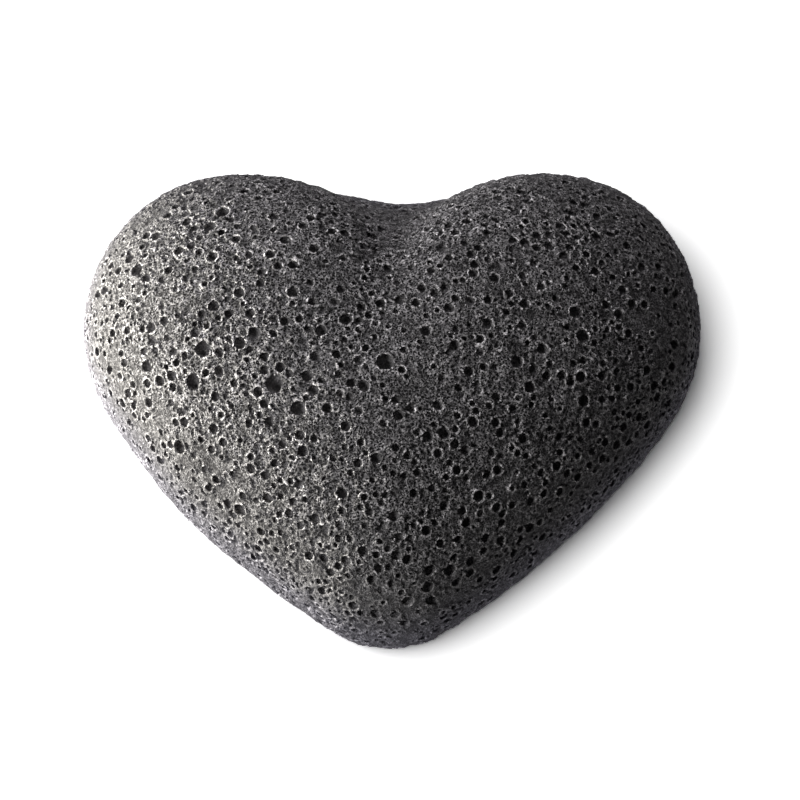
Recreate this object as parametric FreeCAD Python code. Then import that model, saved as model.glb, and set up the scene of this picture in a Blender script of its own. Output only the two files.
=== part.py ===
# Heart-shaped konjac sponge: one moulded block of open-celled foam. It has a flat base, sides that draw in
# towards the base, a crowned top with a soft cleft between the lobes, and large open cells in the crown.
# X runs across the lobes, Y from the tip to the lobes, Z up from the flat base. The origin is on the base,
# under the crown.
import FreeCAD
import Part

import math
import os

# Driving sizes, in millimetres
WIDTH = 80.0  # across both lobes at the widest level
LENGTH = 63.0  # from the tip to the tops of the lobes
HEIGHT = 28.0  # from the flat base to the top of the crown
TIP_RADIUS = 13.0  # rounding of the tip in plan
FLANK_RADIUS = 105.0  # gentle bulge of the sides between lobe and tip
NOTCH_DEPTH = 3.8  # dip of the outline between the lobes
NOTCH_RADIUS = 30.8  # rounding of that dip
CLEFT_DEPTH = 4.5  # how much deeper the dip runs halfway up the crown
WIDEST_LEVEL = 7.0  # height of the fullest outline above the base
BASE_INSET = 1.8  # how far the sides draw in from there to the base
CROWN_CAP = 5.0  # width of the level top of the crown
CELL_DIAMETER = 2.2  # the largest open cell
OVERRUN = 1.0  # how far a cut or a probing line runs past the surface

# Shape of the crown
CROWN_FULLNESS = 2.15  # 2 is an ellipse, more is fuller at the shoulder

# Shape of the open cells
CELL_SIDES = 7
CELL_DEPTH_SHARE = 1.1  # depth of a cell's floor under the surface, as a share of its radius

# Large open cells of the crown: share of the outline's half breadth across, share of the half length towards
# the lobes, and share of the largest cell's diameter
CELL_SHARES = [
    (-0.02, -0.01, 1.0), (-0.45, -0.09, 1.0), (-0.65, 0.09, 0.88), (-0.73, -0.05, 0.88), (-0.39, -0.2, 0.82),
    (-0.84, 0.48, 0.76), (-0.62, 0.75, 0.76), (-0.07, 0.6, 0.76), (0.64, 0.14, 0.76), (-0.92, -0.31, 0.76),
    (-0.9, -0.56, 0.76), (-0.15, 0.19, 0.7), (-0.52, 0.09, 0.7), (-0.63, 0.66, 0.7), (0.6, 0.25, 0.7),
    (0.75, -0.14, 0.7), (0.44, 0.01, 0.7), (0.23, -0.31, 0.7), (0.35, -0.8, 0.7), (0.56, -0.8, 0.7),
    (-0.58, 0.28, 0.65), (-0.45, 0.17, 0.65), (-0.32, 0.32, 0.65), (-0.24, 0.13, 0.65), (-0.32, -0.06, 0.65),
    (-0.1, -0.11, 0.65), (-0.42, -0.37, 0.65), (-0.29, -0.55, 0.65), (0.17, -0.35, 0.65), (0.52, -0.1, 0.65),
    (0.5, -0.55, 0.65), (0.9, -0.63, 0.65), (0.19, -0.87, 0.65), (-0.85, 0.04, 0.65), (-0.36, 0.59, 0.6),
    (0.11, 0.13, 0.6), (0.32, 0.17, 0.6), (0.43, 0.27, 0.6), (0.79, 0.32, 0.6), (0.34, -0.26, 0.6),
    (0.82, -0.41, 0.6), (0.34, 0.39, 0.6), (0.49, 0.62, 0.6), (0.68, 0.45, 0.6),
]

# Counts of outlines that the body is drawn through
SIDE_STEPS = 3
CROWN_STEPS = 8

# Places derived from the sizes
HALF_WIDTH = WIDTH / 2
HALF_LENGTH = LENGTH / 2
LOBE_RADIUS = HALF_WIDTH + NOTCH_DEPTH - math.sqrt(2 * NOTCH_DEPTH * (HALF_WIDTH + NOTCH_RADIUS))
LOBE_X = HALF_WIDTH - LOBE_RADIUS
LOBE_Y = HALF_LENGTH - LOBE_RADIUS
TIP_Y = TIP_RADIUS - HALF_LENGTH


def mirrored(point):
    """The same place on the other lobe."""
    return FreeCAD.Vector(-point.x, point.y, point.z)


def flank_centre(lobe, tip):
    """Centre of the flank arc that touches the lobe and tip circles from outside, for the +X flank."""
    to_lobe = FLANK_RADIUS - LOBE_RADIUS
    to_tip = FLANK_RADIUS - TIP_RADIUS
    run = tip - lobe
    along = (to_lobe**2 - to_tip**2 + run.Length**2) / (2 * run.Length)
    aside = math.sqrt(to_lobe**2 - along**2)
    direction = FreeCAD.Vector(run).normalize()
    inward = FreeCAD.Vector(direction.y, -direction.x, 0)
    return lobe + direction * along + inward * aside


def on_circle(centre, towards, radius):
    """Point of a circle in the direction of another point."""
    return centre + (towards - centre).normalize() * radius


def between(centre, start, end):
    """Middle of the shorter arc from one point of a circle to another."""
    return on_circle(centre, (start + end) / 2, centre.distanceToPoint(start))


def heart_points(notch_depth):
    """Ends and middles of the arcs of the full-size outline, in order from the +X end of the tip."""
    lobe = FreeCAD.Vector(LOBE_X, LOBE_Y, 0)
    tip = FreeCAD.Vector(0, TIP_Y, 0)
    flank = flank_centre(lobe, tip)
    flank_top = lobe + (lobe - flank).normalize() * LOBE_RADIUS
    flank_end = tip + (tip - flank).normalize() * TIP_RADIUS

    dip = LOBE_RADIUS - notch_depth
    notch_radius = (dip**2 + LOBE_X**2 - LOBE_RADIUS**2) / (2 * notch_depth)
    notch = FreeCAD.Vector(0, LOBE_Y + dip + notch_radius, 0)
    notch_end = on_circle(lobe, notch, LOBE_RADIUS)
    notch_middle = FreeCAD.Vector(0, LOBE_Y + dip, 0)

    shoulder = on_circle(lobe, FreeCAD.Vector(HALF_WIDTH, HALF_LENGTH, 0), LOBE_RADIUS)
    half = [
        flank_end,
        between(flank, flank_end, flank_top),
        flank_top,
        between(lobe, flank_top, shoulder),
        shoulder,
        between(lobe, shoulder, notch_end),
        notch_end,
    ]
    tip_middle = FreeCAD.Vector(0, -HALF_LENGTH, 0)
    return [*half, notch_middle, *map(mirrored, reversed(half)), tip_middle]


def heart_outline(scale, level, notch_depth):
    """Closed outline of tangent arcs, drawn in towards the crown's axis by a scale, at a level."""
    points = [FreeCAD.Vector(p.x * scale, p.y * scale, level) for p in heart_points(notch_depth)]
    points.append(points[0])
    arcs = [Part.Arc(*points[start : start + 3]) for start in range(0, len(points) - 1, 2)]
    return Part.Wire([arc.toShape() for arc in arcs])


def side_outlines():
    """Outlines from the flat base up to just under the widest level."""
    for step in range(SIDE_STEPS):
        rise = step / SIDE_STEPS
        inset = BASE_INSET * (1 - rise) ** 2
        yield heart_outline(1 - inset / HALF_WIDTH, WIDEST_LEVEL * rise, NOTCH_DEPTH)


def crown_outlines():
    """Outlines from the widest level to the level top, with the cleft deepest halfway round the shoulder."""
    power = 2 / CROWN_FULLNESS
    last_angle = math.acos((CROWN_CAP / WIDTH) ** (1 / power))
    for step in range(CROWN_STEPS + 1):
        turn = step / CROWN_STEPS
        angle = turn * last_angle
        scale = math.cos(angle) ** power
        rise = (math.sin(angle) / math.sin(last_angle)) ** power
        level = WIDEST_LEVEL + (HEIGHT - WIDEST_LEVEL) * rise
        yield heart_outline(scale, level, NOTCH_DEPTH + CLEFT_DEPTH * math.sin(math.pi * turn) ** 2)


def crowned_heart():
    """The foam block before its cells open."""
    return Part.makeLoft([*side_outlines(), *crown_outlines()], True, False)


def half_breadth(along):
    """Distance from the axis of the heart out to its base outline, at a place along it."""
    base = Part.Face(next(side_outlines()))
    line = Part.makeLine(FreeCAD.Vector(0, along, 0), FreeCAD.Vector(WIDTH, along, 0))
    return base.common(line).BoundBox.XMax


def crown_point(body, across, along):
    """Point of the crown straight above a place in plan."""
    foot = FreeCAD.Vector(across, along, 0)
    probe = Part.makeLine(foot, foot + FreeCAD.Vector(0, 0, HEIGHT + OVERRUN))
    return max((vertex.Point for vertex in body.common(probe).Vertexes), key=lambda point: point.z)


def cell_mouth(centre, inward, radius):
    """Many-sided face square to a direction."""
    across = inward.cross(FreeCAD.Vector(0, 1, 0)).normalize()
    along = inward.cross(across)
    turns = [2 * math.pi * side / CELL_SIDES for side in range(CELL_SIDES + 1)]
    corners = [centre + (across * math.cos(turn) + along * math.sin(turn)) * radius for turn in turns]
    return Part.Face(Part.makePolygon(corners))


def open_cell(body, across_share, along_share, size_share):
    """Many-sided well that opens through the crown, square to the surface."""
    along = along_share * HALF_LENGTH
    above = crown_point(body, across_share * half_breadth(along), along)
    above.z += OVERRUN
    foot = body.distToShape(Part.Vertex(above))[1][0][0]
    inward = (foot - above).normalize()
    radius = size_share * CELL_DIAMETER / 2
    mouth = cell_mouth(foot - inward * OVERRUN, inward, radius)
    return mouth.extrude(inward * (OVERRUN + CELL_DEPTH_SHARE * radius))


def sponge_body():
    """The whole sponge: the crowned heart with its large cells open."""
    heart = crowned_heart()
    return heart.cut([open_cell(heart, *shares) for shares in CELL_SHARES])


os.makedirs("parts", exist_ok=True)
body = sponge_body()
body.exportStep("parts/sponge_body.step")
print("solids", len(body.Solids), "faces", len(body.Faces), "volume", round(body.Volume))
print("valid", body.isValid())
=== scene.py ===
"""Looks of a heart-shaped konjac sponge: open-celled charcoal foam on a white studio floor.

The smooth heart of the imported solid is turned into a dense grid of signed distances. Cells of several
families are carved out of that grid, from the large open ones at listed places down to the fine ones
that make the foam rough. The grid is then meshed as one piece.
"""

import logging
import math
from dataclasses import dataclass, field
from enum import Enum
from typing import Any, Iterable, NamedTuple, Union

import bpy
import numpy as np
import openvdb
from mathutils import Matrix, Vector
from mathutils.bvhtree import BVHTree


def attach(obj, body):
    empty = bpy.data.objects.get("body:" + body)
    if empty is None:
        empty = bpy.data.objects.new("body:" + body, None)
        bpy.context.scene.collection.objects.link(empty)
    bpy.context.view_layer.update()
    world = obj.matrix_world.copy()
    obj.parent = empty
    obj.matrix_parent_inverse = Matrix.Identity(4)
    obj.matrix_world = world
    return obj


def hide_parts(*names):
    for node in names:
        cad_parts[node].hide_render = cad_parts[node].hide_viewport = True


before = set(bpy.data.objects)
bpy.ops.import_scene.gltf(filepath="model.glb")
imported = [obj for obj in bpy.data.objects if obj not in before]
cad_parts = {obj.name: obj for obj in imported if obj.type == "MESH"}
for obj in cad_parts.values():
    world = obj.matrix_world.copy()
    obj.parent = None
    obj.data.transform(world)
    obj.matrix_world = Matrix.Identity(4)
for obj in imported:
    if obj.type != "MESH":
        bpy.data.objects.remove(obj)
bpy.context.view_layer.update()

LOG = logging.getLogger("konjac_sponge")
MM = 0.001
IMAGE_SIDE = 800
FULL_TURN = 360
TINY = 1e-20
SEEN_RAYS = ("Is Camera Ray", "Is Glossy Ray", "Is Transmission Ray")
Colour = tuple[float, float, float]
Span = tuple[float, float]
Value = Union["Field", float]
WHITE: Colour = (1.0, 1.0, 1.0)

# Widths in spacings of a grid
LEVEL_SET_BAND = 3
CARVE_ROOM = 2


class Field:
    """One output of a shader node, which Python operators turn into Math nodes."""

    def __init__(self, shade: "Shade", socket: bpy.types.NodeSocket) -> None:
        """Wraps a socket of a shade's node tree."""
        self.shade = shade
        self.socket = socket

    def maths(self, operation: str, *values: Value) -> "Field":
        """Adds one Math node.

        Args:
            operation: The node's operation, such as ADD.
            values: Its inputs, as fields or plain numbers.

        Returns:
            The node's output.
        """
        node = self.shade.node("ShaderNodeMath", {"operation": operation}, dict(enumerate(values)))
        return Field(self.shade, node.outputs[0])

    def __add__(self, other: Value) -> "Field":
        """This field plus another."""
        return self.maths("ADD", self, other)

    def __sub__(self, other: Value) -> "Field":
        """This field less another."""
        return self.maths("SUBTRACT", self, other)

    def __rsub__(self, other: Value) -> "Field":
        """Another value less this field."""
        return self.maths("SUBTRACT", other, self)

    def __mul__(self, other: Value) -> "Field":
        """This field times another."""
        return self.maths("MULTIPLY", self, other)

    def __truediv__(self, other: Value) -> "Field":
        """This field divided by another."""
        return self.maths("DIVIDE", self, other)

    def __rtruediv__(self, other: Value) -> "Field":
        """Another value divided by this field."""
        return self.maths("DIVIDE", other, self)

    __radd__ = __add__
    __rmul__ = __mul__

    def step(self, start: float, end: float) -> "Field":
        """Smooth change from 0 to 1.

        Args:
            start: Value of this field at which the result is 0.
            end: Value at which it is 1, which may be the smaller one.

        Returns:
            The result.
        """
        node = self.shade.node(
            "ShaderNodeMapRange",
            {"interpolation_type": "SMOOTHSTEP"},
            {"Value": self, "From Min": start, "From Max": end},
        )
        return Field(self.shade, node.outputs[0])

    def between(self, low: float, high: float) -> "Field":
        """One number where this field is 0, changing to another where it is 1."""
        return self * (high - low) + low

    def at_least(self, other: Value) -> "Field":
        """The larger of this field and another."""
        return self.maths("MAXIMUM", self, other)


class Grain(NamedTuple):
    """What a noise is made of.

    Attributes:
        size: Size of its blobs in metres.
        octaves: How much finer noise lies over them.
    """

    size: float
    octaves: float


class Shade:
    """A node tree that is filled from empty."""

    def __init__(self, owner: Union[bpy.types.Material, bpy.types.World]) -> None:
        """Empties a node tree.

        Args:
            owner: The material or world that the tree belongs to.
        """
        owner.use_nodes = True
        self.tree = owner.node_tree
        self.tree.nodes.clear()

    def node(self, kind: str, settings: dict[str, Any], sockets: dict[Any, Any]) -> bpy.types.Node:
        """Adds one node.

        Args:
            kind: The node's type.
            settings: Its properties, and the stops of a ramp as pairs of place and colour.
            sockets: Values or links of its inputs, by name or number.

        Returns:
            The new node.
        """
        node = self.tree.nodes.new(kind)
        for name, setting in settings.items():
            if name == "stops":
                self.set_stops(node.color_ramp, setting)
            else:
                setattr(node, name, setting)
        for name, value in sockets.items():
            if isinstance(value, Field):
                self.tree.links.new(value.socket, node.inputs[name])
            elif isinstance(value, bpy.types.NodeSocket):
                self.tree.links.new(value, node.inputs[name])
            else:
                node.inputs[name].default_value = value
        return node

    @staticmethod
    def set_stops(ramp: bpy.types.ColorRamp, stops: Iterable[tuple[float, Colour]]) -> None:
        """Gives a ramp its stops.

        Args:
            ramp: The ramp.
            stops: Places and colours, in rising order.
        """
        for number, (place, colour) in enumerate(stops):
            stop = ramp.elements[number] if number < 2 else ramp.elements.new(place)
            stop.position = place
            stop.color = (*colour, 1.0)

    def attribute(self, name: str) -> Field:
        """A number that the mesh carries on its points."""
        node = self.node("ShaderNodeAttribute", {"attribute_name": name}, {})
        return Field(self, node.outputs["Fac"])

    def noise(self, place: bpy.types.NodeSocket, grain: Grain) -> Field:
        """Noise around a half.

        Args:
            place: Coordinates in metres.
            grain: What it is made of.

        Returns:
            The noise, from 0 to 1.
        """
        sockets = {"Vector": place, "Scale": 1 / grain.size, "Detail": grain.octaves}
        return Field(self, self.node("ShaderNodeTexNoise", {}, sockets).outputs["Fac"])

    def mix(self, factor: Value, first: Any, second: Any, blend: str = "MIX") -> bpy.types.NodeSocket:
        """Mixes two colours.

        Args:
            factor: Share of the second colour.
            first: Colour or socket under the mix.
            second: Colour or socket over it.
            blend: How the second goes over the first.

        Returns:
            The mixed colour's socket.
        """
        settings = {"data_type": "RGBA", "blend_type": blend}
        colours = [c if isinstance(c, bpy.types.NodeSocket) else (*c, 1.0) for c in (first, second)]
        return self.node("ShaderNodeMix", settings, {0: factor, 6: colours[0], 7: colours[1]}).outputs[2]

    def grey(self, value: Field) -> bpy.types.NodeSocket:
        """A number as a grey colour."""
        sockets = {"Red": value, "Green": value, "Blue": value}
        return self.node("ShaderNodeCombineColor", {}, sockets).outputs[0]


class FoamMark(Enum):
    """Numbers that the foam's mesh carries on its points."""

    SOLID = "solid_share"
    DEPTH = "cell_depth"


@dataclass(frozen=True)
class FoamFinish:
    """Dry charcoal konjac foam: matte, with painted glints and edge highlights and painted light in its
    cells.

    Attributes:
        edge_highlight: Painted highlight on thin edges, which have little foam round them.
        wall: Colour of even skin.
        hollow: Colour of small dents.
        pit_fill_light: Painted light in deep cells and hollows, lighter than the skin.
        shares: Shares of foam in the surroundings at which those four colours stand.
        patch_shift: How far patches move those shares.
        pit_light_depth: Depth under the skin from which a cell shows only that painted light.
        rim_bounce_tint: Painted bluish bounce light that the colour low on the sides is multiplied by.
        rim: Heights at which that painted bounce light starts and is full.
        crown: Heights at which the crown's painted shade and stronger painted glints start and are full.
        ground: Tone under the painted glints, on the sides and on the crown, where it is darker as painted
            shade.
        glint_strength: Strength of the painted glints, on the sides and on the crown.
        fleck_grain: Noise of the flecks, which are painted glints and bumps.
        fleck_edge: Noise at which a fleck starts and is full.
        fleck_relief: Height of the flecks, between patches and on them.
        strand_cell: Width of the cells between the strands.
        strand_stray: How far the strands wander.
        strand_edge: Distance from the middle of a strand at which it starts and is full.
        strand_glint: Strength of the painted glints on the strands next to the flecks.
        patch_grain: Noise of the patches of strong painted glints.
        patch_edge: Noise at which a patch starts and is full.
        patch_glint: Strength of the painted glints, between patches and on them.
        cloud_grain: Noise of the broad clouds of tone.
        cloud_tone: Tone of the darkest and the lightest cloud.
        bump_height: Height of the relief that is too fine for the mesh.
        roughness: Roughness of the foam.
        specular: Strength of its gloss.
    """

    edge_highlight: Colour = (0.317, 0.307, 0.309)
    wall: Colour = (0.117, 0.113, 0.115)
    hollow: Colour = (0.131, 0.127, 0.129)
    pit_fill_light: Colour = (0.29, 0.28, 0.285)
    shares: tuple[float, ...] = (0.34, 0.47, 0.6, 0.8)
    patch_shift: float = 0.1
    pit_light_depth: float = 1.5 * MM
    rim_bounce_tint: Colour = (1.18, 1.18, 1.32)
    rim: Span = (16 * MM, 7 * MM)
    crown: Span = (12 * MM, 25 * MM)
    ground: Span = (0.52, 0.1)
    glint_strength: Span = (0.58, 1.55)
    fleck_grain: Grain = Grain(0.25 * MM, 1.0)
    fleck_edge: Span = (0.51, 0.6)
    fleck_relief: Span = (0.5, 1.5)
    strand_cell: float = 0.5 * MM
    strand_stray: float = 0.25 * MM
    strand_edge: Span = (0.16, 0.02)
    strand_glint: float = 0.6
    patch_grain: Grain = Grain(1.3 * MM, 2.0)
    patch_edge: Span = (0.3, 0.7)
    patch_glint: Span = (0.4, 2.2)
    cloud_grain: Grain = Grain(9 * MM, 1.0)
    cloud_tone: Span = (0.75, 1.25)
    bump_height: float = 0.09 * MM
    roughness: float = 0.9
    specular: float = 0.02

    def material(self) -> bpy.types.Material:
        """Builds the foam's material.

        Returns:
            A material whose colour and normal vary, with plain constants on its other sockets.
        """
        material = bpy.data.materials.new("charcoal_foam")
        shade = Shade(material)
        place = shade.node("ShaderNodeTexCoord", {}, {}).outputs["Object"]
        level = Field(shade, shade.node("ShaderNodeSeparateXYZ", {}, {0: place}).outputs["Z"])
        solid = shade.attribute(FoamMark.SOLID.value)
        depth = shade.attribute(FoamMark.DEPTH.value)

        crown = level.step(*self.crown)
        fleck = shade.noise(place, self.fleck_grain).step(*self.fleck_edge)
        patch = shade.noise(place, self.patch_grain).step(*self.patch_edge)
        cloud = shade.noise(place, self.cloud_grain)
        strand = self.strands(shade, place)

        # Colour by the share of foam round a point: painted highlight on thin edges, plain skin and dents,
        # painted light in deep hollows
        stops = tuple(zip(self.shares, (self.edge_highlight, self.wall, self.hollow, self.pit_fill_light)))
        share = solid + (patch - 0.5) * self.patch_shift
        ramp = shade.node("ShaderNodeValToRGB", {"stops": stops}, {0: share})
        # Painted glints: bright flecks and strands, stronger in patches
        glint_speckle = (fleck + strand * self.strand_glint) * patch.between(*self.patch_glint)
        # Painted shade: the crown is darker under its glints than the sides
        tone = crown.between(*self.ground) + glint_speckle * crown.between(*self.glint_strength)
        clouded = shade.grey(tone * cloud.between(*self.cloud_tone))
        colour = shade.mix(1.0, ramp.outputs[0], clouded, "MULTIPLY")
        # Painted light: deep in the cells the colour turns to the lighter pit colour
        colour = shade.mix(depth.step(0, self.pit_light_depth), colour, self.pit_fill_light)
        # Painted bounce light: the colour turns lighter and bluer towards the base
        rim = shade.mix(level.step(*self.rim), WHITE, self.rim_bounce_tint)
        colour = shade.mix(1.0, colour, rim, "MULTIPLY")

        relief = strand + fleck * patch.between(*self.fleck_relief)
        bump = shade.node("ShaderNodeBump", {}, {"Height": relief, "Distance": self.bump_height})
        sockets = {
            "Base Color": colour,
            "Roughness": self.roughness,
            "Specular IOR Level": self.specular,
            "Normal": bump.outputs[0],
        }
        foam = shade.node("ShaderNodeBsdfPrincipled", {}, sockets)
        shade.node("ShaderNodeOutputMaterial", {}, {"Surface": foam.outputs[0]})
        return material

    def strands(self, shade: Shade, place: bpy.types.NodeSocket) -> Field:
        """Thin strands between cells that are too fine for the mesh.

        Args:
            shade: The foam's node tree.
            place: Coordinates in metres.

        Returns:
            1 on the strands, falling to 0 in the cells.
        """
        scale = 1 / self.strand_cell
        blur = shade.node("ShaderNodeTexNoise", {}, {"Vector": place, "Scale": scale})
        stray = shade.node(
            "ShaderNodeVectorMath",
            {"operation": "MULTIPLY_ADD"},
            {0: blur.outputs["Color"], 1: (self.strand_stray,) * 3, 2: place},
        )
        cells = shade.node(
            "ShaderNodeTexVoronoi",
            {"feature": "DISTANCE_TO_EDGE"},
            {"Vector": stray.outputs[0], "Scale": scale},
        )
        return Field(shade, cells.outputs["Distance"]).step(*self.strand_edge)


def seen_by_eye(shade: Shade) -> Field:
    """Tells the rays that make up the picture.

    Args:
        shade: The node tree to ask in.

    Returns:
        1 on rays of the camera and of what it sees mirrored or through glass, 0 on other rays.
    """
    light_path = shade.node("ShaderNodeLightPath", {}, {})
    camera, mirrored, through = (Field(shade, light_path.outputs[name]) for name in SEEN_RAYS)
    return camera.at_least(mirrored).at_least(through)


@dataclass(frozen=True)
class FloorFinish:
    """White studio paper that the camera sees burnt out to white, with the sponge's shadow left on it.

    Attributes:
        paper: Brightness that lights the sponge from below.
        seen: Brightness that the camera sees.
        near: Distance from the sponge at which the paper starts to turn plain white to the eye.
        far: Distance from which it is plain white.
    """

    paper: float = 0.65
    seen: float = 1.6
    near: float = 120 * MM
    far: float = 300 * MM

    def material(self) -> bpy.types.Material:
        """Builds the paper's material.

        Returns:
            A material that takes shadow near the sponge and is plain white to the eye far from it.
        """
        material = bpy.data.materials.new("studio_paper")
        shade = Shade(material)
        eye = seen_by_eye(shade)
        tone = shade.grey(eye.between(self.paper, self.seen))
        paper = shade.node("ShaderNodeBsdfDiffuse", {}, {"Color": tone})
        white = shade.node("ShaderNodeEmission", {}, {"Color": (*WHITE, 1.0)})
        place = shade.node("ShaderNodeTexCoord", {}, {}).outputs["Object"]
        length = shade.node("ShaderNodeVectorMath", {"operation": "LENGTH"}, {0: place})
        share = eye * Field(shade, length.outputs["Value"]).step(self.near, self.far)
        sockets = {0: share, 1: paper.outputs[0], 2: white.outputs[0]}
        sheet = shade.node("ShaderNodeMixShader", {}, sockets)
        shade.node("ShaderNodeOutputMaterial", {}, {"Surface": sheet.outputs[0]})
        return material


@dataclass(frozen=True)
class PhotoView:
    """The photographer's camera, high over the tip of the heart.

    Attributes:
        elevation: How high it looks from.
        roll: How far it is tilted to one side.
        distance: How far it stands from the target.
        lens: Focal length, in millimetres.
        sensor: Width of the film, in millimetres.
        target: Place that it looks at.
        target_pixel: Where that place lies in the photograph.
    """

    elevation: float = math.radians(70)
    roll: float = math.radians(0.5)
    distance: float = 600 * MM
    lens: float = 210.0
    sensor: float = 36.0
    target: tuple[float, float, float] = (0.0, 0.0, 10 * MM)
    target_pixel: tuple[float, float] = (391.0, 401.0)

    @property
    def focal_pixels(self) -> float:
        """Focal length in pixels of the photograph."""
        return self.lens / self.sensor * IMAGE_SIDE

    def matrix(self) -> Matrix:
        """Place of the camera.

        Returns:
            Its world matrix, which puts the target on its pixel.
        """
        back = Vector((0, -math.cos(self.elevation), math.sin(self.elevation)))
        turn = back.to_track_quat("Z", "Y").to_matrix() @ Matrix.Rotation(self.roll, 3, "Z")
        middle = IMAGE_SIDE / 2
        pixel = self.distance / self.focal_pixels
        aside = Vector(((middle - self.target_pixel[0]) * pixel, (self.target_pixel[1] - middle) * pixel, 0))
        place = Vector(self.target) + turn @ aside + back * self.distance
        return Matrix.Translation(place) @ turn.to_4x4()

    def ray(self, pixel: tuple[float, float]) -> tuple[Vector, Vector]:
        """Line of sight through a pixel.

        Args:
            pixel: Place in the photograph, from its top left.

        Returns:
            Where the line starts and which way it goes.
        """
        matrix = self.matrix()
        middle = IMAGE_SIDE / 2
        aim = Vector((pixel[0] - middle, middle - pixel[1], -self.focal_pixels))
        return matrix.translation, (matrix.to_3x3() @ aim).normalized()

    def add_camera(self) -> None:
        """Makes the scene's camera."""
        data = bpy.data.cameras.new("photo_camera")
        data.lens = self.lens
        data.sensor_width = self.sensor
        camera = bpy.data.objects.new("photo_camera", data)
        camera.matrix_world = self.matrix()
        bpy.context.scene.collection.objects.link(camera)
        bpy.context.scene.camera = camera


class Shell(NamedTuple):
    """A closed surface as points and quads."""

    points: np.ndarray
    quads: np.ndarray


def spread_weights(fine: np.ndarray, count: int) -> np.ndarray:
    """Catmull-Rom weights that read a row of evenly spaced samples at other places.

    Args:
        fine: Places to read at, in samples from the first one.
        count: How many samples the row has.

    Returns:
        One row of weights for each place.
    """
    start = np.floor(fine).astype(int)
    part = fine - start
    cubic = (
        ((2 - part) * part - 1) * part / 2,
        ((3 * part - 5) * part**2 + 2) / 2,
        ((4 - 3 * part) * part + 1) * part / 2,
        (part - 1) * part**2 / 2,
    )
    weights = np.zeros((len(fine), count), np.float32)
    rows = np.arange(len(fine))
    for offset, values in enumerate(cubic, start=-1):
        np.add.at(weights, (rows, np.clip(start + offset, 0, count - 1)), values)
    return weights


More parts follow.
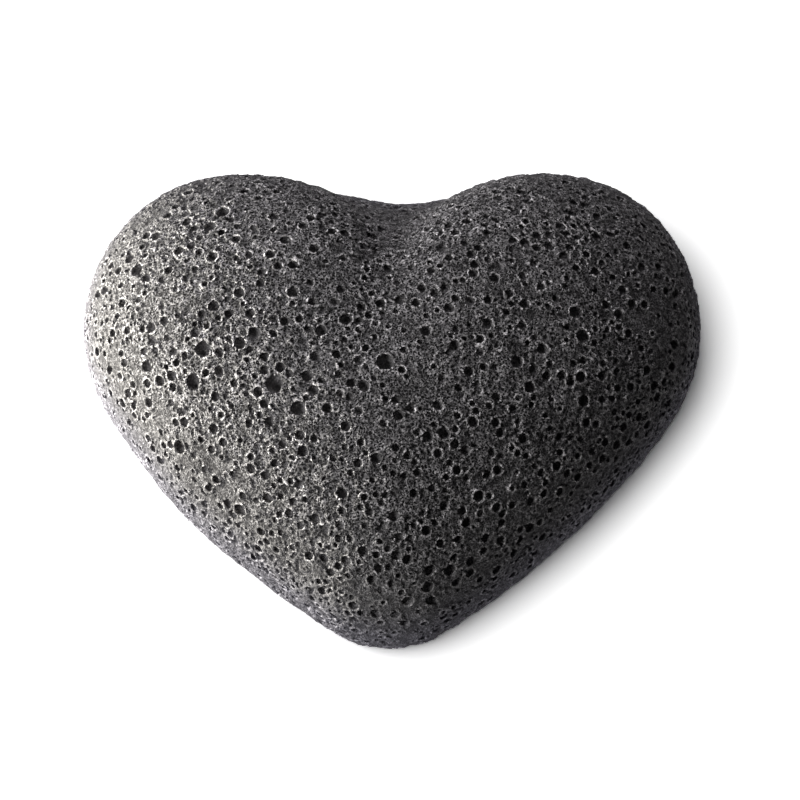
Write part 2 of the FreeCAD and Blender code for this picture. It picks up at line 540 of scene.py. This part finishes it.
@dataclass
class FoamGrid:
    """Signed distances on a dense grid, in metres: below zero inside the foam.

    Attributes:
        pitch: Spacing of the samples.
        low: Whole-number place of the first sample, in spacings from the origin.
        values: The distances.
    """

    pitch: float
    low: np.ndarray
    values: np.ndarray

    @classmethod
    def of_shell(cls, points: np.ndarray, faces: np.ndarray, pitch: float, reach: float) -> "FoamGrid":
        """Distances to a closed surface.

        Args:
            points: Its points.
            faces: Its triangles or quads.
            pitch: Spacing of the samples.
            reach: How far from the surface distances are worked out.

        Returns:
            A grid that holds the surface and its surroundings.
        """
        corners = "triangles" if faces.shape[1] == 3 else "quads"
        level_set = openvdb.FloatGrid.createLevelSetFromPolygons(
            points.astype(np.float32),
            transform=openvdb.createLinearTransform(pitch),
            halfWidth=math.ceil(reach / pitch),
            **{corners: faces.astype(np.uint32)},
        )
        low = np.floor((points.min(axis=0) - reach) / pitch).astype(int)
        high = np.ceil((points.max(axis=0) + reach) / pitch).astype(int)
        values = np.zeros(high - low + 1, np.float32)
        level_set.copyToArray(values, ijk=tuple(int(i) for i in low))
        return cls(pitch, low, values)

    def shell(self, level: float = 0.0) -> Shell:
        """Surface at one distance.

        Args:
            level: The distance.

        Returns:
            Its points and quads.
        """
        edge = LEVEL_SET_BAND * self.pitch
        level_set = openvdb.FloatGrid(edge)
        level_set.transform = openvdb.createLinearTransform(self.pitch)
        trimmed = np.clip(self.values - np.float32(level), -edge, edge)
        level_set.copyFromArray(trimmed, ijk=tuple(int(i) for i in self.low))
        return Shell(*level_set.convertToQuads(0.0))

    def axes(self) -> list[np.ndarray]:
        """Places of the samples along X, Y and Z."""
        return [(start + np.arange(count)) * self.pitch for start, count in zip(self.low, self.values.shape)]

    def refined(self, pitch: float, low: np.ndarray, shape: Iterable[int]) -> "FoamGrid":
        """The same distances, read on another grid.

        Args:
            pitch: Spacing of the new samples.
            low: Place of the first of them, in spacings.
            shape: How many there are each way.

        Returns:
            The new grid.
        """
        values = self.values
        for axis, count in enumerate(shape):
            places = (low[axis] + np.arange(count)) * pitch / self.pitch - self.low[axis]
            weights = spread_weights(places, values.shape[0])
            values = np.tensordot(values, weights, axes=(0, 1))
        return FoamGrid(pitch, low, values)

    def noise(self, grain: float, dice: np.random.Generator) -> np.ndarray:
        """Smooth noise over this grid.

        Args:
            grain: Spacing of its random lattice.
            dice: Source of the draws.

        Returns:
            Noise of about unit spread for each sample.
        """
        # The spline reads one lattice point before a sample and two after it
        low = np.floor(self.low * self.pitch / grain).astype(int) - 1
        counts = [math.ceil(count * self.pitch / grain) + 4 for count in self.values.shape]
        lattice = dice.standard_normal(counts, np.float32)
        return FoamGrid(grain, low, lattice).refined(self.pitch, self.low, self.values.shape).values

    def near(self, place: np.ndarray, reach: float) -> tuple[np.ndarray, list[np.ndarray]]:
        """Samples round a place.

        Args:
            place: The place, in spacings from the first sample.
            reach: How far round it they lie, in spacings.

        Returns:
            A view of their distances, and where they lie from the place along X, Y and Z.
        """
        start = np.maximum(np.floor(place - reach).astype(int), 0)
        stop = np.maximum(np.minimum(np.ceil(place + reach).astype(int) + 1, self.values.shape), start)
        rows = [np.arange(a, b, dtype=np.float32) - c for a, b, c in zip(start, stop, place)]
        part = self.values[tuple(slice(a, b) for a, b in zip(start, stop))]
        return part, np.meshgrid(*rows, indexing="ij", sparse=True)

    def carve(self, cells: "Cells") -> None:
        """Takes round cells out of the foam.

        Args:
            cells: The cells.
        """
        for centre, radius in zip(cells.centres / self.pitch - self.low, cells.radii / self.pitch):
            part, (x, y, z) = self.near(centre, radius + CARVE_ROOM)
            np.maximum(part, (radius - np.sqrt(x**2 + y**2 + z**2)) * self.pitch, out=part)

    def add_lips(self, cells: "Cells", thickness: np.ndarray) -> None:
        """Rounds the mouths of cells with thin raised rings.

        Args:
            cells: The cells.
            thickness: Radius of each ring's own section.
        """
        mouths = (cells.centres + cells.outward * cells.sunk[:, None]) / self.pitch - self.low
        widths = np.sqrt(cells.radii**2 - cells.sunk**2) + thickness
        for mouth, way, width, thick in zip(mouths, cells.outward, widths, thickness):
            part, (x, y, z) = self.near(mouth, (width + 2 * thick) / self.pitch)
            along = x * way[0] + y * way[1] + z * way[2]
            aside = np.sqrt(np.maximum(x**2 + y**2 + z**2 - along**2, 0)) - width / self.pitch
            np.minimum(part, np.sqrt(aside**2 + along**2) * self.pitch - thick, out=part)

    def swell(self, centre: Vector, reach: float, rise: float) -> None:
        """Raises or sinks the surface round a place.

        Args:
            centre: The place.
            reach: How far round it the change is felt.
            rise: How far the surface comes out there.
        """
        x, y, z = ((axis - c) / reach for axis, c in zip(self.axes(), centre))
        bells = [np.exp(-(row**2)).astype(np.float32) for row in (x, y, z)]
        self.values -= rise * bells[0][:, None, None] * bells[1][None, :, None] * bells[2][None, None, :]

    def solid_share(self, reach: float) -> np.ndarray:
        """Share of foam in the surroundings of each sample.

        Args:
            reach: Half the width of the surroundings.

        Returns:
            Shares from 0 to 1, about a half on an even surface.
        """
        share = np.clip(0.5 - self.values / self.pitch, 0, 1)
        half = max(1, round(reach / self.pitch / 2))
        for axis in (0, 1, 2):
            # Two even blurs make a soft one
            for _ in range(2):
                sums = np.cumsum(share, axis=axis, dtype=np.float32)
                ahead = np.roll(sums, -half, axis=axis)
                behind = np.roll(sums, half + 1, axis=axis)
                share = (ahead - behind) / (2 * half + 1)
        return share

    def slope(self, values: np.ndarray, places: np.ndarray) -> np.ndarray:
        """Way in which a field on this grid rises, at any places.

        Args:
            values: One value for each sample.
            places: Where to look.

        Returns:
            One direction for each place.
        """
        steps = np.eye(3) * self.pitch
        rises = [self.read(values, places + step) - self.read(values, places - step) for step in steps]
        ways = np.stack(rises, axis=1)
        return ways / np.maximum(np.linalg.norm(ways, axis=1), TINY)[:, None]

    def read(self, values: np.ndarray, places: np.ndarray) -> np.ndarray:
        """Values of a field on this grid at any places.

        Args:
            values: One value for each sample.
            places: Where to read them.

        Returns:
            The values there, worked out linearly.
        """
        spots = places / self.pitch - self.low
        start = np.clip(np.floor(spots).astype(int), 0, np.array(values.shape) - 2)
        part = (spots - start).astype(np.float32)
        found = np.zeros(len(places), np.float32)
        for corner in np.ndindex(2, 2, 2):
            weight = np.prod(np.where(corner, part, 1 - part), axis=1)
            found += weight * values[tuple((start + corner).T)]
        return found


class Chart(NamedTuple):
    """A rectangle of the texture square, in shares of its side."""

    left: float
    bottom: float
    width: float
    height: float

    def place(self, flat: np.ndarray) -> np.ndarray:
        """Flat corners of faces, stretched to fill the rectangle."""
        low, high = flat.min(axis=(0, 1)), flat.max(axis=(0, 1))
        return (self.left, self.bottom) + (flat - low) / (high - low) * (self.width, self.height)


@dataclass(frozen=True)
class BakeMap:
    """Texture layout of the foam, with its skin, the floors of its cells and their overhangs laid out apart.

    Attributes:
        name: Name of the layout.
        skin: Where the open skin above the base goes.
        floors: Where the floors of cells in that skin go.
        overhangs: Where their overhanging walls go.
        base: Where the flat base goes.
        base_cells: Where the cells of the base go.
        floor_depth: How deep a face has to lie to count as the floor of a cell.
        base_slope: How far the skin has to look down to count as base.
        widest_level: Height of the fullest outline, from which the crown is rolled out.
    """

    name: str = "OFBake"
    skin: Chart = Chart(0.002, 0.002, 0.996, 0.5)
    floors: Chart = Chart(0.002, 0.508, 0.492, 0.28)
    overhangs: Chart = Chart(0.506, 0.508, 0.492, 0.28)
    base: Chart = Chart(0.002, 0.796, 0.492, 0.202)
    base_cells: Chart = Chart(0.506, 0.796, 0.492, 0.202)
    floor_depth: float = 0.35 * MM
    base_slope: float = 0.7
    widest_level: float = 7 * MM

    def rolled_out(self, points: np.ndarray) -> np.ndarray:
        """Rolls the crown and the sides out flat, from the top of the crown.

        Args:
            points: Places on the foam.

        Returns:
            Flat places, with the base's edge outermost.
        """
        across = np.hypot(points[:, 0], points[:, 1])
        turn = np.degrees(np.arctan2(points[:, 1], points[:, 0])).astype(int) + FULL_TURN // 2
        reach = np.zeros(FULL_TURN + 1)
        np.maximum.at(reach, turn, across)
        share = across / np.interp(turn, np.flatnonzero(reach), reach[reach > 0])
        rise = (points[:, 2] - self.widest_level) / (points[:, 2].max() - self.widest_level)
        roll = np.arctan2(share, rise)
        return points[:, :2] * (roll / np.maximum(share, TINY))[:, None]

    def apply(self, mesh: bpy.types.Mesh, outward: np.ndarray, depth: np.ndarray) -> None:
        """Lays out the faces of a mesh of quads.

        Args:
            mesh: The mesh.
            outward: The way out of the smooth skin, for each point.
            depth: How deep under the skin each point lies.
        """
        points = np.zeros((len(mesh.vertices), 3), np.float32)
        mesh.vertices.foreach_get("co", points.ravel())
        corners = np.zeros((len(mesh.polygons), 4), np.int32)
        mesh.loops.foreach_get("vertex_index", corners.ravel())
        normals = np.zeros((len(mesh.polygons), 3), np.float32)
        mesh.polygons.foreach_get("normal", normals.ravel())
        ways = outward[corners].mean(axis=1)
        under = (normals * ways).sum(axis=1) < 0
        deep = depth[corners].mean(axis=1) > self.floor_depth
        below = ways[:, 2] < -self.base_slope
        rolled = self.rolled_out(points)[corners]
        plan = points[:, :2][corners]
        laid_out = np.zeros((len(corners), 4, 2), np.float32)
        for chart, flat, faces in (
            (self.skin, rolled, ~below & ~under & ~deep),
            (self.floors, rolled, ~below & ~under & deep),
            (self.overhangs, rolled, ~below & under),
            (self.base, plan, below & ~under & ~deep),
            (self.base_cells, plan, below & (under | deep)),
        ):
            laid_out[faces] = chart.place(flat[faces])
        mesh.uv_layers.new(name=self.name).data.foreach_set("uv", laid_out.ravel())


class PhotoCell(NamedTuple):
    """A large cell, by the place and width of its mouth in the photograph, in pixels."""

    x: float
    y: float
    width: float


class Swelling(NamedTuple):
    """A gentle unevenness of the moulded heart.

    Attributes:
        x: Place of its middle across the lobes.
        y: Place of its middle towards the lobes.
        z: Place of its middle above the base.
        reach: How far round it is felt.
        rise: How far the surface comes out.
    """

    x: float
    y: float
    z: float
    reach: float
    rise: float

    @property
    def centre(self) -> Vector:
        """Place of its middle."""
        return Vector((self.x, self.y, self.z))


@dataclass(frozen=True)
class CellFamily:
    """Cells of one kind, scattered over the whole surface.

    Attributes:
        per_area: How many there are on a square metre of skin.
        narrow: Width of the smallest.
        wide: Width of the largest.
        skew: Above 1, small ones are commoner.
        sunk: Share of its radius that a cell's centre lies under the skin.
        gap: Share of their widths that two cells of the family stay apart, or zero if they may run together.
        on_rim: Share of them that is left on the rim near the base.
    """

    per_area: float
    narrow: float
    wide: float
    skew: float
    sunk: float
    gap: float
    on_rim: float


@dataclass(frozen=True)
class InnerCells:
    """How smaller cells open into the floors of others.

    Attributes:
        count: How many open into each.
        inward: How strongly they keep to the floor rather than to the walls.
        radii: Shares of the outer radius that the smallest and the largest have.
        away: Share of the outer radius between the centres.
    """

    count: int = 3
    inward: float = 2.2
    radii: Span = (0.3, 0.5)
    away: float = 0.95


class Cells(NamedTuple):
    """Round cells.

    Attributes:
        centres: Their centres.
        radii: Their radii.
        outward: The way out of the foam from each.
        sunk: How far each centre lies under the skin.
    """

    centres: np.ndarray
    radii: np.ndarray
    outward: np.ndarray
    sunk: np.ndarray


LARGE_CELLS = tuple(
    PhotoCell(*row)
    for row in (
        (385, 362, 17), (274, 384, 17), (202, 349, 15), (193, 382, 15), (298, 408, 14), (137, 270, 13),
        (223, 212, 13), (372, 236, 13), (583, 336, 13), (180, 447, 13), (240, 510, 13), (346, 319, 12),
        (240, 343, 12), (210, 226, 12), (576, 312, 12), (584, 401, 12), (517, 362, 12), (444, 433, 12),
        (430, 570, 12), (450, 570, 12), (428, 587, 12), (214, 306, 11), (254, 332, 11), (293, 292, 11),
        (321, 331, 11), (307, 376, 11), (364, 386, 11), (303, 451, 11), (342, 493, 11), (428, 437, 11),
        (530, 387, 11), (479, 496, 11), (581, 377, 11), (530, 527, 11), (408, 601, 11), (432, 601, 11),
        (146, 366, 11), (156, 236, 10), (179, 251, 10), (285, 240, 10), (426, 331, 10), (455, 345, 10),
        (525, 304, 10), (488, 323, 10), (632, 304, 10), (619, 314, 10), (160, 381, 10), (258, 392, 10),
        (327, 408, 10), (269, 422, 10), (346, 426, 10), (473, 422, 10), (268, 498, 10), (315, 519, 10),
        (363, 551, 10), (470, 573, 10), (557, 466, 10), (122, 303, 9), (187, 222, 10), (416, 303, 9),
        (495, 278, 9), (537, 235, 9), (480, 339, 9), (627, 246, 9), (457, 470, 9), (444, 506, 9),
        (462, 511, 9), (488, 475, 9), (399, 537, 9), (324, 558, 9), (322, 591, 9), (578, 477, 9),
        (596, 272, 9), (585, 205, 9), (596, 424, 8),
    )
)


@dataclass
class KonjacSponge:
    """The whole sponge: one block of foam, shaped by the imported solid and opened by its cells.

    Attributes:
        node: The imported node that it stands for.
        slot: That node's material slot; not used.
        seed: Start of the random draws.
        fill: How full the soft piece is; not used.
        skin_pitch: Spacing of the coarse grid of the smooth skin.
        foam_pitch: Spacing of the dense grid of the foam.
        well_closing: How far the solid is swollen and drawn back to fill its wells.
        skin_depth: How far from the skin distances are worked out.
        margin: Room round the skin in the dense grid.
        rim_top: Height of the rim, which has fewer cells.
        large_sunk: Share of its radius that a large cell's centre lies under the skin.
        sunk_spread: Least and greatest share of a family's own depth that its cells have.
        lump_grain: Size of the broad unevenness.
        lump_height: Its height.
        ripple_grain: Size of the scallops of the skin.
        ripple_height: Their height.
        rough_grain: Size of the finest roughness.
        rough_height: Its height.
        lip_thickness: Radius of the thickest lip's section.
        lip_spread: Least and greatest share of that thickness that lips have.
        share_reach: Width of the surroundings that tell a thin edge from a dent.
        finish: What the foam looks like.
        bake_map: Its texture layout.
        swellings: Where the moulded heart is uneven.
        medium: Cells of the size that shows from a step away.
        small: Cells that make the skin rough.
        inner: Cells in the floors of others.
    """

    node: str = "sponge_body"
    slot: str = "foam"
    seed: int = 7
    fill: float = 0.9
    skin_pitch: float = 0.5 * MM
    foam_pitch: float = 0.2 * MM
    well_closing: float = 4 * MM
    skin_depth: float = 4 * MM
    margin: float = 1.2 * MM
    rim_top: float = 9 * MM
    large_sunk: float = 0.45
    sunk_spread: Span = (0.3, 1.4)
    lump_grain: float = 7 * MM
    lump_height: float = 0.08 * MM
    ripple_grain: float = 1.2 * MM
    ripple_height: float = 0.085 * MM
    rough_grain: float = 0.4 * MM
    rough_height: float = 0.035 * MM
    lip_thickness: float = 0.16 * MM
    lip_spread: Span = (0.4, 1.0)
    share_reach: float = 0.5 * MM
    finish: FoamFinish = FoamFinish()
    bake_map: BakeMap = BakeMap()
    swellings: tuple[Swelling, ...] = (
        Swelling(-27.2 * MM, -13.6 * MM, 7 * MM, 11 * MM, 0.75 * MM),
        Swelling(-16.3 * MM, 31 * MM, 9 * MM, 8 * MM, -0.6 * MM),
        Swelling(-5.5 * MM, 28 * MM, 9 * MM, 5 * MM, 0.6 * MM),
        Swelling(12.8 * MM, 30.5 * MM, 9 * MM, 6 * MM, -0.45 * MM),
        Swelling(31 * MM, 26 * MM, 8 * MM, 11 * MM, 0.75 * MM),
        Swelling(-2.5 * MM, 8 * MM, 25 * MM, 6.5 * MM, -0.9 * MM),
    )
    medium: CellFamily = CellFamily(
        per_area=0.4e6, narrow=0.7 * MM, wide=1.4 * MM, skew=1.5, sunk=0.45, gap=0.3, on_rim=0.35
    )
    small: CellFamily = CellFamily(
        per_area=3.4e6, narrow=0.26 * MM, wide=0.52 * MM, skew=1.6, sunk=0.2, gap=0.0, on_rim=0.7
    )
    inner: InnerCells = InnerCells()
    dice: np.random.Generator = field(init=False)

    def __post_init__(self) -> None:
        """Starts the random draws, the same in each run."""
        self.dice = np.random.default_rng(self.seed)

    def skin_grid(self) -> FoamGrid:
        """The moulded heart with the solid's wells filled up, on a coarse grid.

        Returns:
            Its distances.
        """
        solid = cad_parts[self.node].data
        points = np.zeros((len(solid.vertices), 3), np.float32)
        solid.vertices.foreach_get("co", points.ravel())
        solid.calc_loop_triangles()
        triangles = np.zeros((len(solid.loop_triangles), 3), np.int32)
        solid.loop_triangles.foreach_get("vertices", triangles.ravel())
        reach = self.well_closing + self.skin_depth
        swollen = FoamGrid.of_shell(points, triangles, self.skin_pitch, reach).shell(self.well_closing)
        closed = FoamGrid.of_shell(*swollen, self.skin_pitch, reach)
        closed.values += self.well_closing
        return closed

    def scatter(self, skin: Shell, family: CellFamily, taken: Cells) -> Cells:
        """Places one family of cells at random.

        Args:
            skin: The smooth surface.
            family: What the cells are like.
            taken: Cells that are there already, which the new ones keep clear of if they keep clear at all.

        Returns:
            The new cells.
        """
        corners = skin.points[skin.quads]
        middles = corners.mean(axis=1)
        across = np.cross(corners[:, 2] - corners[:, 0], corners[:, 3] - corners[:, 1])
        areas = np.linalg.norm(across, axis=1) / 2
        outward = across / (2 * areas[:, None] + TINY)
        count = int(areas.sum() * family.per_area)
        picks = self.dice.choice(len(areas), count, p=areas / areas.sum())
        shift = (self.dice.random((count, 2)) - 0.5).astype(np.float32)
        spots = middles[picks]
        spots += shift[:, :1] * (corners[picks, 1] - corners[picks, 0])
        spots += shift[:, 1:] * (corners[picks, 3] - corners[picks, 0])
        spare = self.dice.random(count) > family.on_rim
        spread = self.dice.random(count) ** family.skew
        radii = (family.narrow + (family.wide - family.narrow) * spread) / 2
        kept = np.flatnonzero(~(spare & (spots[:, 2] < self.rim_top)))
        if family.gap:
            kept = self.clear_picks(spots, radii, kept, family.gap, taken)
        ways = outward[picks[kept]]
        radii = radii[kept]
        sunk = radii * family.sunk * self.dice.uniform(*self.sunk_spread, len(kept))
        return Cells(spots[kept] - ways * sunk[:, None], radii, ways, sunk)

    @staticmethod
    def clear_picks(
        spots: np.ndarray, radii: np.ndarray, order: np.ndarray, gap: float, taken: Cells
    ) -> np.ndarray:
        """Picks places that keep clear of each other.

        Args:
            spots: Places on the skin.
            radii: Radii of the cells there.
            order: Numbers of the places to try, in order.
            gap: Share of their radii added up that two cells stay apart.
            taken: Cells that are there already.

        Returns:
            Numbers of the places that are clear.
        """
        placed = np.concatenate([taken.centres, np.zeros((len(order), 3), np.float32)])
        widths = np.concatenate([taken.radii, np.zeros(len(order), np.float32)])
        used = len(taken.radii)
        kept = []
        for number in order:
            apart = np.linalg.norm(placed[:used] - spots[number], axis=1)
            if (apart > (widths[:used] + radii[number]) * (1 + gap / 2)).all():
                placed[used] = spots[number]
                widths[used] = radii[number]
                used += 1
                kept.append(number)
        return np.array(kept, int)

    def photo_cells(self, skin: Shell, view: PhotoView) -> Cells:
        """Places the large cells where the photograph shows them.

        Args:
            skin: The smooth surface.
            view: The photograph's camera.

        Returns:
            The cells that the lines of sight meet.
        """
        tree = BVHTree.FromPolygons(skin.points.tolist(), skin.quads.tolist())
        rows = []
        for cell in LARGE_CELLS:
            start, way = view.ray((cell.x, cell.y))
            spot, outward, _, distance = tree.ray_cast(start, way)
            if spot is None:
                continue
            mouth = cell.width / 2 * distance / view.focal_pixels
            radius = mouth / math.sqrt(1 - self.large_sunk**2)
            sunk = radius * self.large_sunk
            rows.append((spot - outward * sunk, radius, outward, sunk))
        return Cells(*(np.array(column, np.float32) for column in zip(*rows)))

    def inner_cells(self, cells: Cells) -> Cells:
        """Smaller cells that open into the floors of others.

        Args:
            cells: The cells that they open into.

        Returns:
            The inner cells.
        """
        outer = np.repeat(np.arange(len(cells.radii)), self.inner.count)
        ways = self.dice.standard_normal((len(outer), 3)).astype(np.float32)
        ways -= self.inner.inward * cells.outward[outer]
        ways /= np.linalg.norm(ways, axis=1)[:, None]
        radii = cells.radii[outer] * self.dice.uniform(*self.inner.radii, len(outer)).astype(np.float32)
        centres = cells.centres[outer] + ways * (cells.radii[outer] * self.inner.away)[:, None]
        return Cells(centres, radii, ways, cells.sunk[outer])

    def carved_grid(self, view: PhotoView) -> tuple[FoamGrid, np.ndarray]:
        """The foam with all its cells open.

        Args:
            view: The photograph's camera.

        Returns:
            The carved grid, and the distances to the skin before any cell was opened.
        """
        skin_grid = self.skin_grid()
        for swelling in self.swellings:
            skin_grid.swell(swelling.centre, swelling.reach, swelling.rise)
        skin = skin_grid.shell()
        low = np.floor((skin.points.min(axis=0) - self.margin) / self.foam_pitch).astype(int)
        high = np.ceil((skin.points.max(axis=0) + self.margin) / self.foam_pitch).astype(int)
        grid = skin_grid.refined(self.foam_pitch, low, high - low + 1)
        smooth = grid.values.copy()
        grid.values += self.lump_height * grid.noise(self.lump_grain, self.dice)
        grid.values += self.ripple_height * grid.noise(self.ripple_grain, self.dice)

        large = self.photo_cells(skin, view)
        medium = self.scatter(skin, self.medium, large)
        small = self.scatter(skin, self.small, large)
        for cells in (large, self.inner_cells(large), medium, self.inner_cells(medium), small):
            grid.carve(cells)
            LOG.info("carved %d cells", len(cells.radii))
        for cells in (large, medium):
            shares = self.dice.uniform(*self.lip_spread, len(cells.radii))
            grid.add_lips(cells, self.lip_thickness * shares)
        grid.values += self.rough_height * grid.noise(self.rough_grain, self.dice)
        np.maximum(grid.values, -grid.axes()[2].astype(np.float32), out=grid.values)
        return grid, smooth

    def build(self, view: PhotoView) -> bpy.types.Object:
        """Args:
            view: The photograph's camera.

        Returns:
            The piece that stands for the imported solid.
        """
        grid, smooth = self.carved_grid(view)
        shell = one_body(grid.shell())
        piece = mesh_object("konjac_foam", shell)
        marks = {
            FoamMark.SOLID: grid.read(grid.solid_share(self.share_reach), shell.points),
            FoamMark.DEPTH: -grid.read(smooth, shell.points),
        }
        for mark, values in marks.items():
            layer = piece.data.attributes.new(mark.value, "FLOAT", "POINT")
            layer.data.foreach_set("value", values.astype(np.float32))
        self.bake_map.apply(piece.data, grid.slope(smooth, shell.points), marks[FoamMark.DEPTH])
        piece.data.materials.append(self.finish.material())
        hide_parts(self.node)
        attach(piece, "root")
        return piece


def one_body(shell: Shell) -> Shell:
    """The largest connected surface, without crumbs and closed bubbles.

    Args:
        shell: Surface of all the foam.

    Returns:
        Its main surface alone.
    """
    labels = np.arange(len(shell.points))
    while True:
        lowest = labels[shell.quads].min(axis=1)
        joined = labels.copy()
        for corner in range(4):
            np.minimum.at(joined, shell.quads[:, corner], lowest)
        joined = joined[joined]
        if (joined == labels).all():
            break
        labels = joined
    main = np.bincount(labels).argmax()
    kept = labels == main
    numbers = np.cumsum(kept) - 1
    quads = shell.quads[kept[shell.quads[:, 0]]]
    return Shell(shell.points[kept], numbers[quads])


def mesh_object(name: str, shell: Shell) -> bpy.types.Object:
    """Turns a surface into a smooth-shaded object of the scene.

    Args:
        name: Name of the object and its mesh.
        shell: The surface.

    Returns:
        The object.
    """
    mesh = bpy.data.meshes.new(name)
    mesh.vertices.add(len(shell.points))
    mesh.vertices.foreach_set("co", shell.points.astype(np.float32).ravel())
    mesh.loops.add(shell.quads.size)
    mesh.loops.foreach_set("vertex_index", shell.quads.astype(np.int32).ravel())
    mesh.polygons.add(len(shell.quads))
    mesh.polygons.foreach_set("loop_start", np.arange(0, shell.quads.size, 4, dtype=np.int32))
    mesh.polygons.foreach_set("use_smooth", np.ones(len(shell.quads), bool))
    mesh.update(calc_edges=True)
    mesh.validate()
    made = bpy.data.objects.new(name, mesh)
    bpy.context.scene.collection.objects.link(made)
    return made


class LampUse(Enum):
    """The one thing that a lamp lights."""

    FOAM = "foam"
    PAPER = "paper"


class Softbox(NamedTuple):
    """A soft studio lamp that points at the sponge.

    Attributes:
        name: Its name.
        azimuth: Where it stands, in degrees from the front, rising to the right.
        elevation: How high it stands, in degrees.
        distance: How far it stands from the sponge.
        side: Width of its square cloth.
        level: Brightness that a white surface facing it gets.
        colour: Colour of its light.
        use: What it lights.
    """

    name: str
    azimuth: float
    elevation: float
    distance: float
    side: float
    level: float
    colour: Colour
    use: LampUse


@dataclass(frozen=True)
class Studio:
    """White floor, lamps and surroundings.

    Attributes:
        floor_side: Width of the square floor.
        ambient: Colour of the weak fill light.
        ambient_level: Its brightness.
        aim: Place that the lamps point at.
        finish: What the floor looks like.
        lamps: The lamps.
    """

    floor_side: float = 6.0
    ambient: Colour = (0.93, 0.93, 1.0)
    ambient_level: float = 0.012
    aim: tuple[float, float, float] = (0.0, 0.0, 10 * MM)
    finish: FloorFinish = FloorFinish()
    lamps: tuple[Softbox, ...] = (
        Softbox("key", -90, 2, 0.1, 0.026, 2.75, (1.0, 0.985, 0.89), LampUse.FOAM),
        Softbox("side", -68, 32, 0.7, 0.3, 0.77, (1.0, 0.995, 0.99), LampUse.FOAM),
        Softbox("low_back", -135, 10, 0.7, 0.2, 0.33, (0.98, 0.96, 1.0), LampUse.FOAM),
        Softbox("high_back", -168, 46, 0.3, 0.15, 0.3, (0.98, 0.96, 1.0), LampUse.FOAM),
        Softbox("paper", -80, 66, 0.7, 0.75, 1.6, WHITE, LampUse.PAPER),
    )

    def add_floor(self) -> bpy.types.Object:
        """Makes the floor under the sponge.

        Returns:
            The floor.
        """
        half = self.floor_side / 2
        corners = np.array([(-half, -half, 0), (half, -half, 0), (half, half, 0), (-half, half, 0)])
        floor = mesh_object("studio_floor", Shell(corners, np.array([[0, 1, 2, 3]])))
        floor.data.materials.append(self.finish.material())
        return floor

    def add_lamp(self, lamp: Softbox, lit: bpy.types.Object) -> None:
        """Hangs one softbox.

        Args:
            lamp: What it is like.
            lit: The object that it lights.
        """
        data = bpy.data.lights.new(lamp.name, "AREA")
        data.size = lamp.side
        data.energy = lamp.level * (math.pi * lamp.distance) ** 2
        data.color = lamp.colour
        turn, rise = math.radians(lamp.azimuth), math.radians(lamp.elevation)
        way = Vector((math.sin(turn) * math.cos(rise), -math.cos(turn) * math.cos(rise), math.sin(rise)))
        light = bpy.data.objects.new(lamp.name, data)
        turned = way.to_track_quat("Z", "Y").to_matrix().to_4x4()
        light.matrix_world = Matrix.Translation(Vector(self.aim) + way * lamp.distance) @ turned
        light.visible_camera = False
        bpy.context.scene.collection.objects.link(light)
        light.light_linking.receiver_collection = bpy.data.collections.new(f"{lamp.name}_lights")
        light.light_linking.receiver_collection.objects.link(lit)

    def add_surroundings(self) -> None:
        """Gives the world its weak fill light, and white where the camera sees it."""
        world = bpy.data.worlds.new("studio")
        bpy.context.scene.world = world
        shade = Shade(world)
        eye = seen_by_eye(shade)
        colour = shade.mix(eye, self.ambient, WHITE)
        strength = eye.between(self.ambient_level, 1.0)
        light = shade.node("ShaderNodeBackground", {}, {"Color": colour, "Strength": strength})
        shade.node("ShaderNodeOutputWorld", {}, {"Surface": light.outputs[0]})

    def build(self, sponge: bpy.types.Object) -> None:
        """Sets up everything round the sponge.

        Args:
            sponge: The piece in the middle.
        """
        floor = self.add_floor()
        LOG.info("floor %s", floor.name)
        lit = {LampUse.FOAM: sponge, LampUse.PAPER: floor}
        for lamp in self.lamps:
            self.add_lamp(lamp, lit[lamp.use])
            LOG.info("lamp %s", lamp.name)
        self.add_surroundings()
        bpy.context.scene.view_settings.view_transform = "Standard"


def write_sizes() -> None:
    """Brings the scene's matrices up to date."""
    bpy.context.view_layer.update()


def main() -> None:
    """Builds the sponge, its camera and its studio."""
    logging.basicConfig(level=logging.INFO, format="%(name)s: %(message)s")
    view = PhotoView()
    view.add_camera()
    sponge = KonjacSponge().build(view)
    LOG.info("piece %s with %d faces", sponge.name, len(sponge.data.polygons))
    Studio().build(sponge)
    write_sizes()


if __name__ == "__main__":
    main()
